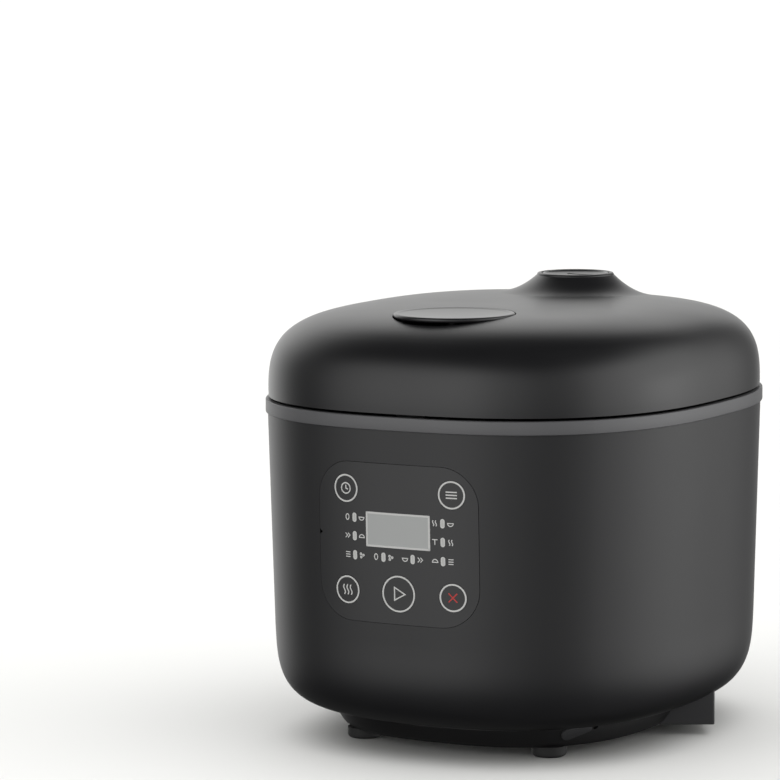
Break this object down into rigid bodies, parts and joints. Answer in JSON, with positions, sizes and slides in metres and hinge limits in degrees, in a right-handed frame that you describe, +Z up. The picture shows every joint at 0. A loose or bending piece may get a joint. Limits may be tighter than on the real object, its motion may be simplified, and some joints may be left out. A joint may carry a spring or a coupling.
{
  "type": "rice cooker",
  "caption": "Countertop electric rice cooker with a rounded black body, hinged domed lid with a lift-off steam cap and push release, keyed front control panel and inner pot.",
  "frame": {"origin": "centre of the body's footprint on the floor, under the feet", "axes": "+Z up, the control panel faces -Y, +X is to the right seen from the front, and the long side runs along Y"},
  "size_m": [0.24, 0.272, 0.2372],
  "materials": {
    "casing_black": "fine matte moulded black",
    "base_black": "matte moulded black",
    "trim_grey": "satin mid grey",
    "frame_black": "satin black",
    "panel_black": "satin printed film on black plastic",
    "key_black": "satin printed film on black plastic",
    "inlet_grey": "matte dark grey",
    "socket_black": "matte black",
    "pin_brass": "plated contact pins",
    "foot_rubber": "soft matt rubber",
    "screw_steel": "zinc-plated",
    "display_glass": "grey display window",
    "display_module": "display cell and holder",
    "light_clear": "milky light pipes",
    "board_green": "solder-masked board",
    "switch_black": "moulded",
    "sheet_steel": "galvanised sheet",
    "heater_mica": "mica band",
    "cast_aluminium": "cast and turned",
    "spring_steel": "spring wire",
    "fuse_ceramic": "sleeved fuse",
    "relay_blue": "moulded",
    "transformer_yellow": "taped winding",
    "capacitor_blue": "sleeved can",
    "lead_brown": "insulated wire",
    "lead_white": "glass-sleeved wire",
    "pot_coating": "dark non-stick coating",
    "inner_lid_aluminium": "anodised sheet",
    "silicone_grey": "translucent silicone",
    "duct_black": "satin moulded",
    "cap_black": "satin black",
    "button_black": "satin black",
    "latch_black": "moulded acetal"
  },
  "bodies": {
    "housing": {"outer_body": "casing_black", "base_plate": "base_black", "front_feet": "foot_rubber", "rear_feet": "foot_rubber", "trim_ring": "trim_grey", "upper_frame": "frame_black", "inlet_housing": "inlet_grey", "inlet_socket": "socket_black", "inlet_pins": "pin_brass", "base_screws": "screw_steel", "control_panel": "panel_black", "lcd_window": "display_glass", "lcd_module": "display_module", "indicator_lights": "light_clear", "control_board": "board_green", "key_switches": "switch_black", "board_screws": "screw_steel", "pot_housing": "sheet_steel", "side_heater": "heater_mica", "heating_plate": "cast_aluminium", "plate_supports": "sheet_steel", "sensor_guide": "sheet_steel", "sensor_spring": "spring_steel", "thermal_fuse": "fuse_ceramic", "power_board": "board_green", "power_relay": "relay_blue", "transformer": "transformer_yellow", "filter_capacitor": "capacitor_blue", "power_board_screws": "screw_steel", "mains_leads": "lead_brown", "heater_leads": "lead_white", "panel_lead": "lead_white", "inner_pot": "pot_coating", "latch_catch": "sheet_steel", "hinge_bracket": "sheet_steel", "hinge_pin": "screw_steel", "hinge_spring": "spring_steel"},
    "lid": {"lid_shell": "casing_black", "lid_liner": "frame_black", "lid_hinge_arms": "sheet_steel", "hinge_arm_screws": "screw_steel", "inner_lid": "inner_lid_aluminium", "inner_lid_gasket": "silicone_grey", "inner_lid_knob": "silicone_grey", "steam_duct": "duct_black", "steam_duct_seal": "silicone_grey", "latch_bracket": "frame_black", "latch_pin": "screw_steel", "latch_spring": "spring_steel"},
    "steam_cap": {"steam_vent_cap": "cap_black"},
    "release_button": {"release_button": "button_black"},
    "latch": {"latch_hook": "latch_black"},
    "sensor": {"temperature_sensor": "cast_aluminium"},
    "timer_key": {"timer_key": "key_black"},
    "menu_key": {"menu_key": "key_black"},
    "keep_warm_key": {"keep_warm_key": "key_black"},
    "cancel_key": {"cancel_key": "key_black"},
    "start_key": {"start_key": "key_black"}
  },
  "joints": [
    {"name": "lid_hinge", "type": "hinge", "parent": "housing", "child": "lid", "pos_m": [0, 0.128, 0.1855], "axis": [-1, 0, 0], "range_deg": [0, 88]},
    {"name": "release_press", "type": "slide", "parent": "lid", "child": "release_button", "axis": [0, 0, -1], "range_m": [0, 0.003], "stiffness_N_per_m": 500, "springref_m": -0.002, "deforming": ["latch_spring"]},
    {"name": "latch_swing", "type": "hinge", "parent": "lid", "child": "latch", "pos_m": [0, -0.106, 0.2], "axis": [-1, 0, 0], "range_deg": [0, 5.7]},
    {"name": "steam_cap_lift", "type": "slide", "parent": "lid", "child": "steam_cap", "axis": [0, 0, 1], "range_m": [0, 0.042]},
    {"name": "sensor_press", "type": "slide", "parent": "housing", "child": "sensor", "axis": [0, 0, 1], "range_m": [-0.003, 0], "stiffness_N_per_m": 500, "springref_m": 0.002, "deforming": ["sensor_spring"]},
    {"name": "timer_key_press", "type": "slide", "parent": "housing", "child": "timer_key", "axis": [0, 0.9996, 0.0279], "range_m": [0, 0.0008], "stiffness_N_per_m": 500, "springref_m": -0.001},
    {"name": "menu_key_press", "type": "slide", "parent": "housing", "child": "menu_key", "axis": [0, 0.9996, 0.0279], "range_m": [0, 0.0008], "stiffness_N_per_m": 500, "springref_m": -0.001},
    {"name": "keep_warm_key_press", "type": "slide", "parent": "housing", "child": "keep_warm_key", "axis": [0, 0.9996, 0.0279], "range_m": [0, 0.0008], "stiffness_N_per_m": 500, "springref_m": -0.001},
    {"name": "cancel_key_press", "type": "slide", "parent": "housing", "child": "cancel_key", "axis": [0, 0.9996, 0.0279], "range_m": [0, 0.0008], "stiffness_N_per_m": 500, "springref_m": -0.001},
    {"name": "start_key_press", "type": "slide", "parent": "housing", "child": "start_key", "axis": [0, 0.9996, 0.0279], "range_m": [0, 0.0008], "stiffness_N_per_m": 500, "springref_m": -0.001}
  ],
  "couplings": [
    {"joint": "latch_swing", "follows": "release_press", "rad_per_m": 32.6}
  ]
}
